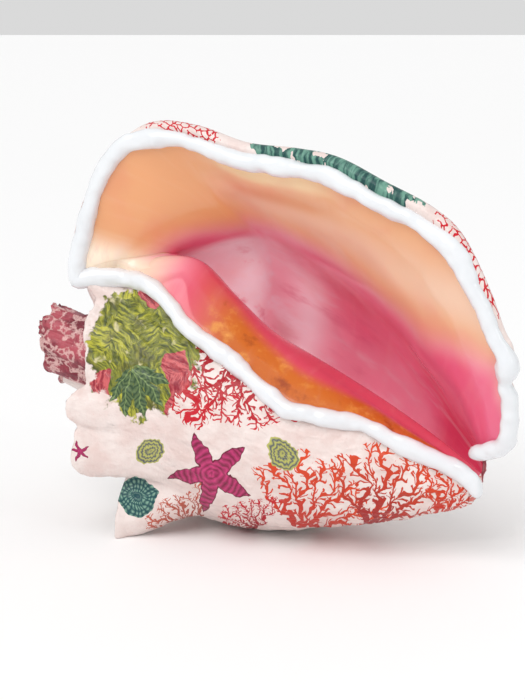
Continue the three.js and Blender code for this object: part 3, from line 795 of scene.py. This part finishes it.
def leafy(tree, under, sheet, middle, size):
    """A patch of torn green leaf prints with scraps of red among them."""
    at = put(tree, "ShaderNodeMapping", {"Vector": sheet, "Location": (*middle, 0), "Scale": (*size, 1)},
             vector_type="TEXTURE").outputs[0]
    away = put(tree, "ShaderNodeVectorMath", {0: at}, operation="LENGTH").outputs["Value"]
    torn = Num(tree, away) + (noise(tree, sheet, .11, 4., .6) - .5) * 1.1
    bits = put(tree, "ShaderNodeTexVoronoi", {"Vector": sheet, "Scale": .09, "Randomness": 1.},
               voronoi_dimensions="2D")
    chance = put(tree, "ShaderNodeSeparateColor", {0: bits.outputs["Color"]})
    pick, spin, tone = (Num(tree, chance.outputs[k]) for k in range(3))
    turned = put(tree, "ShaderNodeVectorRotate", {"Vector": sheet, "Angle": spin * 2.6 - .6},
                 rotation_type="Z_AXIS")
    long = put(tree, "ShaderNodeMapping", {"Vector": turned.outputs[0], "Scale": (.1, .6, 1)}).outputs[0]
    barbs = noise(tree, long, 1.2, 4., .65)
    green = mix(tree, barbs.ease(.36, .52), MOSS, LEAF)
    green = mix(tree, (barbs + tone * .12).ease(.52, .72), green, LIME)
    green = mix(tree, noise(tree, sheet, .1, 3.).ease(.5, .36) * .6, green, rgba(74, 72, 34))
    green = mix(tree, noise(tree, sheet, .16, 3.).ease(.6, .74) * .8, green, rgba(226, 214, 170))
    red = mix(tree, barbs.ease(.4, .6), rgba(146, 28, 48), rgba(208, 98, 100))
    green = mix(tree, pick > .66, green, red)
    return mix(tree, torn.ease(1.02, .94), under, green)


def surface(tree, inputs):
    shader = put(tree, "ShaderNodeBsdfPrincipled", inputs)
    put(tree, "ShaderNodeOutputMaterial", {"Surface": shader.outputs[0]})


def varnish(tree, colour):
    """Printed paper under varnish, with small creases."""
    spot = put(tree, "ShaderNodeTexCoord").outputs["Object"]
    crease = noise(tree, spot, 150, 5., .62) + noise(tree, spot, 520, 3.) * .25
    bump = put(tree, "ShaderNodeBump", {"Strength": .6, "Distance": .002, "Height": crease})
    surface(tree, {
        "Base Color": colour, "Roughness": .4, "Specular IOR Level": .2,
        "Coat Weight": .45, "Coat Roughness": .11,
        "Normal": bump.outputs[0], "Coat Normal": bump.outputs[0]})


def material(name):
    made = bpy.data.materials.new(name)
    made.use_nodes = True
    made.node_tree.nodes.clear()
    return made, made.node_tree


def front_paper():
    """The side that shows first: figures laid out one by one."""
    made, tree = material("front paper")
    sheet, colour = paper_sheet(tree)
    # figure, its place and size on the sheet in millimetres, turn in degrees, dark and light
    layout = [
        (FAN, (-32.2, 8.9), 42, 160, DARK_RED, RED), (FAN, (-8.2, -.9), 40, 196, DARK_RED, RED),
        (FAN, (16.7, -80), 40, -24, BRICK, ORANGE), (FAN, (48.7, -79.1), 42, -30, DARK_RED, ORANGE),
        (FAN, (78.9, -75.6), 32, -40, BRICK, ORANGE), (FAN, (-29.6, -84.4), 26, 48, RUST, CLAY),
        (FAN, (-2.9, -82.7), 20, 30, DARK_RED, RED), (STAR, (-22.4, -55.1), 20, 24, MAGENTA, ROSE),
        (STAR, (-82, -45.3), 5, 10, MAGENTA, ROSE), (URCHIN, (-57.1, -66.7), 9, 0, TEAL, SEA),
        (LIMPET, (8.7, -45.3), 8.5, 35, SLATE, STRAW), (LIMPET, (-50, -45.3), 7.5, -50, SLATE, STRAW),
    ]
    for figure in layout:
        colour = stamp_at(tree, colour, sheet, *figure)
    colour = leafy(tree, colour, sheet, (-53.6, 0), (26, 29))
    colour = stamp_at(tree, colour, sheet, KELP, (-58, -7.1), 25, 196, BLADE, BLADE_VEIN)
    varnish(tree, colour)
    return made


def back_paper():
    """The same figures strewn over cells of two sizes, each picked and turned by chance."""
    made, tree = material("back paper")
    sheet, colour = paper_sheet(tree)
    # a figure's size, the drop of its root, its dark and light; a fan's two colours go by chance
    looks = {FAN: (.56, .36, None, None), KELP: (.5, .3, MOSS, LIME), STAR: (.26, 0, MAGENTA, ROSE),
             URCHIN: (.22, 0, TEAL, SEA), LIMPET: (.26, 0, SLATE, STRAW)}
    for cell, shares in ((42, ((FAN, 0, .56), (KELP, .56, .74), (STAR, .74, .88), (URCHIN, .88, 1.01))),
                         (21, ((LIMPET, .76, .88), (STAR, .88, 1.01)))):
        small = put(tree, "ShaderNodeVectorMath", {0: sheet, 1: (1 / cell, 1 / cell, 0)},
                    operation="MULTIPLY")
        cells = put(tree, "ShaderNodeTexVoronoi", {
            "Vector": small.outputs[0], "Scale": 1., "Randomness": .45}, voronoi_dimensions="2D")
        away = put(tree, "ShaderNodeVectorMath", {0: small.outputs[0], 1: cells.outputs["Position"]},
                   operation="SUBTRACT")
        chance = put(tree, "ShaderNodeSeparateColor", {0: cells.outputs["Color"]})
        pick, spin, tone = (Num(tree, chance.outputs[k]) for k in range(3))
        turned = put(tree, "ShaderNodeVectorRotate", {"Vector": away.outputs[0], "Angle": spin * 6.283},
                     rotation_type="Z_AXIS")
        for group, low, high in shares:
            size, drop, dark, light = looks[group]
            at = put(tree, "ShaderNodeMapping", {
                "Vector": turned.outputs[0], "Location": (0, -drop, 0), "Scale": (size, size, 1)},
                vector_type="TEXTURE")
            if group is FAN:
                dark = mix(tree, tone > .55, DARK_RED, BRICK)
                light = mix(tree, tone > .55, RED, ORANGE)
            colour = stamp(tree, colour, at.outputs[0], group, dark, light, (pick > low) * (pick < high))
    varnish(tree, colour)
    return made


def margin_paper():
    """The narrow hem along the lip: red twigs, then green blades, by the distance along the edge."""
    made, tree = material("margin paper")
    sheet, colour = paper_sheet(tree)
    split = put(tree, "ShaderNodeSeparateXYZ", {0: sheet})
    far = Num(tree, split.outputs[0]) + (noise(tree, sheet, .14, 3.) - .5) * 34
    net = put(tree, "ShaderNodeTexVoronoi", {"Vector": sheet, "Scale": .33, "Randomness": 1.},
              voronoi_dimensions="2D", feature="DISTANCE_TO_EDGE")
    line = (Num(tree, net.outputs["Distance"]) < .12) * (noise(tree, sheet, .3, 1.) > .4)
    for low, high, tint in ((10, 55, DARK_RED), (78, 112, RED), (216, 262, RED), (330, 420, BRICK)):
        colour = mix(tree, line * (far > low) * (far < high), colour, tint)
    run = put(tree, "ShaderNodeMapping", {"Vector": sheet, "Rotation": (0, 0, .7), "Scale": (.5, .09, 1)})
    blades = noise(tree, run.outputs[0], 1., 3.)
    green = mix(tree, blades.ease(.4, .64), rgba(10, 70, 68), rgba(106, 156, 138))
    torn = noise(tree, sheet, .12, 3.) > .42
    colour = mix(tree, (far > 128) * (far < 206) * torn, colour, green)
    varnish(tree, colour)
    return made


def spire_paper():
    """Crumpled dark red paper with painted highlights along its folds."""
    made, tree = material("spire paper")
    spot = put(tree, "ShaderNodeTexCoord").outputs["Object"]
    veins = noise(tree, spot, 60, 6., .65)
    fold_highlights = abs(noise(tree, spot, 85, 4., .6) - .5)
    colour = mix(tree, veins.ease(.38, .62), rgba(116, 24, 44), rgba(182, 82, 94))
    # painted highlight along the folds
    colour = mix(tree, fold_highlights.ease(.05, .0) * .7, colour, rgba(238, 200, 194))
    colour = mix(tree, noise(tree, spot, 24, 2.).ease(.58, .7) * .6, colour, rgba(232, 186, 182))
    varnish(tree, colour)
    return made


def polished(name, streak, rough, marble=None):
    """Natural shell: the tint of each place, fine growth streaks and soft clouds, and a painted glow that
    lights its shaded depths.
    """
    made, tree = material(name)
    tint, painted_glow = put(tree, "ShaderNodeVertexColor", layer_name="tint").outputs
    uv = put(tree, "ShaderNodeUVMap", uv_map="print").outputs[0]
    run = put(tree, "ShaderNodeMapping", {"Vector": uv, "Scale": (*streak, 1)})
    lines = noise(tree, run.outputs[0], 1., 3., .5)
    spot = put(tree, "ShaderNodeTexCoord").outputs["Object"]
    cloud = noise(tree, spot, 30, 3.)
    colour = mix(tree, lines.ease(.5, .85) * .08, tint, rgba(253, 224, 212))
    colour = mix(tree, cloud.ease(.5, .8) * .25, colour, rgba(222, 96, 92))
    along = put(tree, "ShaderNodeMapping", {"Vector": uv, "Scale": (15, 2.6, 1)})
    wisps = noise(tree, along.outputs[0], 1., 4., .6)
    colour = mix(tree, wisps.ease(.48, .68) * Num(tree, painted_glow) * 1.7, colour, rgba(240, 216, 226))
    colour = mix(tree, wisps.ease(.46, .3) * Num(tree, painted_glow) * 1.7, colour, rgba(206, 66, 108))
    if marble:
        vein = noise(tree, spot, 75, 5., .6)
        near = Num(tree, put(tree, "ShaderNodeSeparateColor", {0: tint}).outputs[2]).ease(.12, .04)
        colour = mix(tree, vein.ease(.5, .72) * near, colour, marble[0])
        colour = mix(tree, vein.ease(.46, .3) * near, colour, marble[1])
    swell = noise(tree, spot, 30, 2.)
    bump = put(tree, "ShaderNodeBump", {"Strength": .1, "Distance": .003, "Height": swell + lines * .1})
    # painted light: the tint's fourth value makes the shaded depths glow
    surface(tree, {
        "Base Color": colour, "Roughness": rough, "Coat Weight": .45, "Coat Roughness": .05,
        "Emission Color": colour, "Emission Strength": painted_glow,
        "Normal": bump.outputs[0], "Subsurface Weight": .1, "Subsurface Radius": (.004, .002, .0015),
        "Subsurface Scale": 1.})
    return made


def white_bead():
    """Glossy white with a soft lumpy skin."""
    made, tree = material("white bead")
    spot = put(tree, "ShaderNodeTexCoord").outputs["Object"]
    cloud = noise(tree, spot, 60, 3.)
    colour = mix(tree, cloud, rgba(224, 227, 231), rgba(236, 238, 240))
    lumps = noise(tree, spot, 110, 2.)
    bump = put(tree, "ShaderNodeBump", {"Strength": .12, "Distance": .002, "Height": lumps})
    surface(tree, {
        "Base Color": colour, "Roughness": .2, "Coat Weight": .4, "Coat Roughness": .05,
        "Normal": bump.outputs[0], "Subsurface Weight": .1, "Subsurface Radius": (.003, .003, .003),
        "Subsurface Scale": 1.})
    return made


# The pieces

papers = [front_paper(), back_paper(), spire_paper(), margin_paper()]
shell_out = outside().build("shell_outside", papers)
amber = rgba(236, 166, 78), rgba(164, 70, 18)
polish = [polished("lip inside", (3, 14), .2), polished("callus", (2.2, 14), .16, amber)]
shell_in = mouth().build("shell_mouth", polish)
rim_bead = bead().build("bead", [white_bead()])
for piece, node in ((shell_out, "shell"), (shell_in, "shell"), (rim_bead, "rim_bead")):
    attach(piece, "root")
    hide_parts(node)


# Floor, light and camera

bpy.ops.mesh.primitive_plane_add(size=30, location=(0, 0, 0))
floor = bpy.context.object
floor.name = "floor"
made, tree = material("floor")
surface(tree, {"Base Color": (.97, .97, .97, 1), "Roughness": .8})
floor.data.materials.append(made)


def lamp_at(name, kind, at, aim, **settings):
    data = bpy.data.lights.new(name, kind)
    for key, value in settings.items():
        setattr(data, key, value)
    lamp = bpy.data.objects.new(name, data)
    lamp.location = at
    lamp.rotation_euler = (Vector(aim) - Vector(at)).to_track_quat("-Z", "Y").to_euler()
    bpy.context.scene.collection.objects.link(lamp)


LIT = (0, 0, .1)
lamp_at("daylight", "SUN", (-.5, -.75, 1.15), (0, 0, 0), energy=1.25, angle=math.radians(45))
lamp_at("window", "AREA", (-.35, -.95, .75), LIT, shape="RECTANGLE", size=.1, size_y=.14, energy=.9)
lamp_at("side", "AREA", (.95, -.7, .55), LIT, shape="RECTANGLE", size=.09, size_y=.2, energy=.7)
sky = bpy.data.worlds.new("studio")
bpy.context.scene.world = sky
sky.use_nodes = True
sky.node_tree.nodes["Background"].inputs[0].default_value = (1, 1, 1, 1)
sky.node_tree.nodes["Background"].inputs[1].default_value = .7

aim = MIDDLE / 1000
eye = aim + CAMERA_FAR * np.array((0, -math.cos(LEAN), math.sin(LEAN)))
data = bpy.data.cameras.new("camera")
data.lens, data.sensor_width = LENS, SENSOR
camera = bpy.data.objects.new("camera", data)
camera.location = eye
camera.rotation_euler = (math.pi / 2 - LEAN, 0, 0)
bpy.context.scene.collection.objects.link(camera)
bpy.context.scene.camera = camera
bpy.context.scene.view_settings.view_transform = "Standard"
